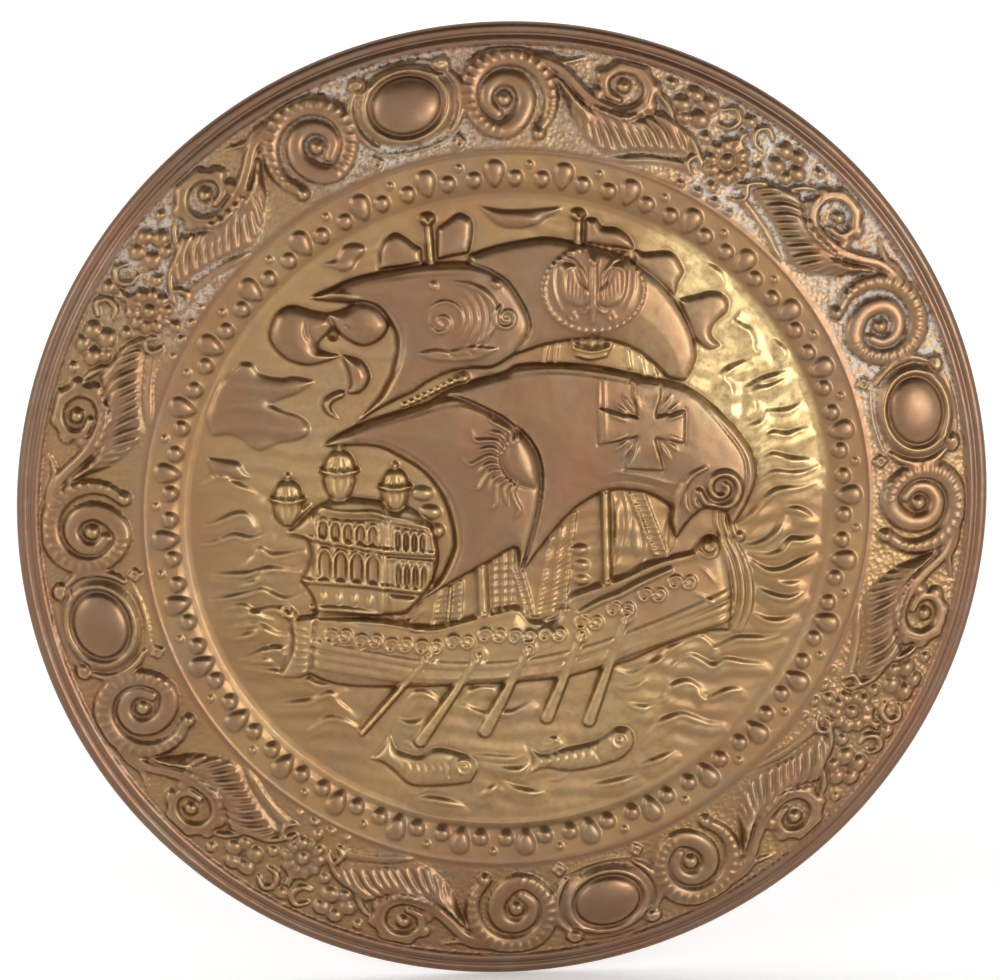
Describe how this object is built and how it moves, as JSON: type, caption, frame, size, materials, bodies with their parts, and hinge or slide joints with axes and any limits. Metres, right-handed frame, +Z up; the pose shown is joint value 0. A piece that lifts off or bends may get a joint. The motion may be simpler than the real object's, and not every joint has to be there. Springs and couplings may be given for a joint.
{
  "type": "decorative wall plaque",
  "caption": "Round pressed-metal wall plaque with a rolled edge, a beaded band, a scrollwork border and a sailing ship in relief in the sunk middle.",
  "frame": {"origin": "back of the rolled edge at the top of the plaque, where it bears on the wall", "axes": "+Y out of the back into the wall, -Y out of the front towards the viewer, +Z up, +X to the viewer's right"},
  "size_m": [0.61, 0.0169, 0.61],
  "materials": {
    "brass": "aged"
  },
  "bodies": {
    "root": {"plaque": "brass"}
  },
  "joints": []
}
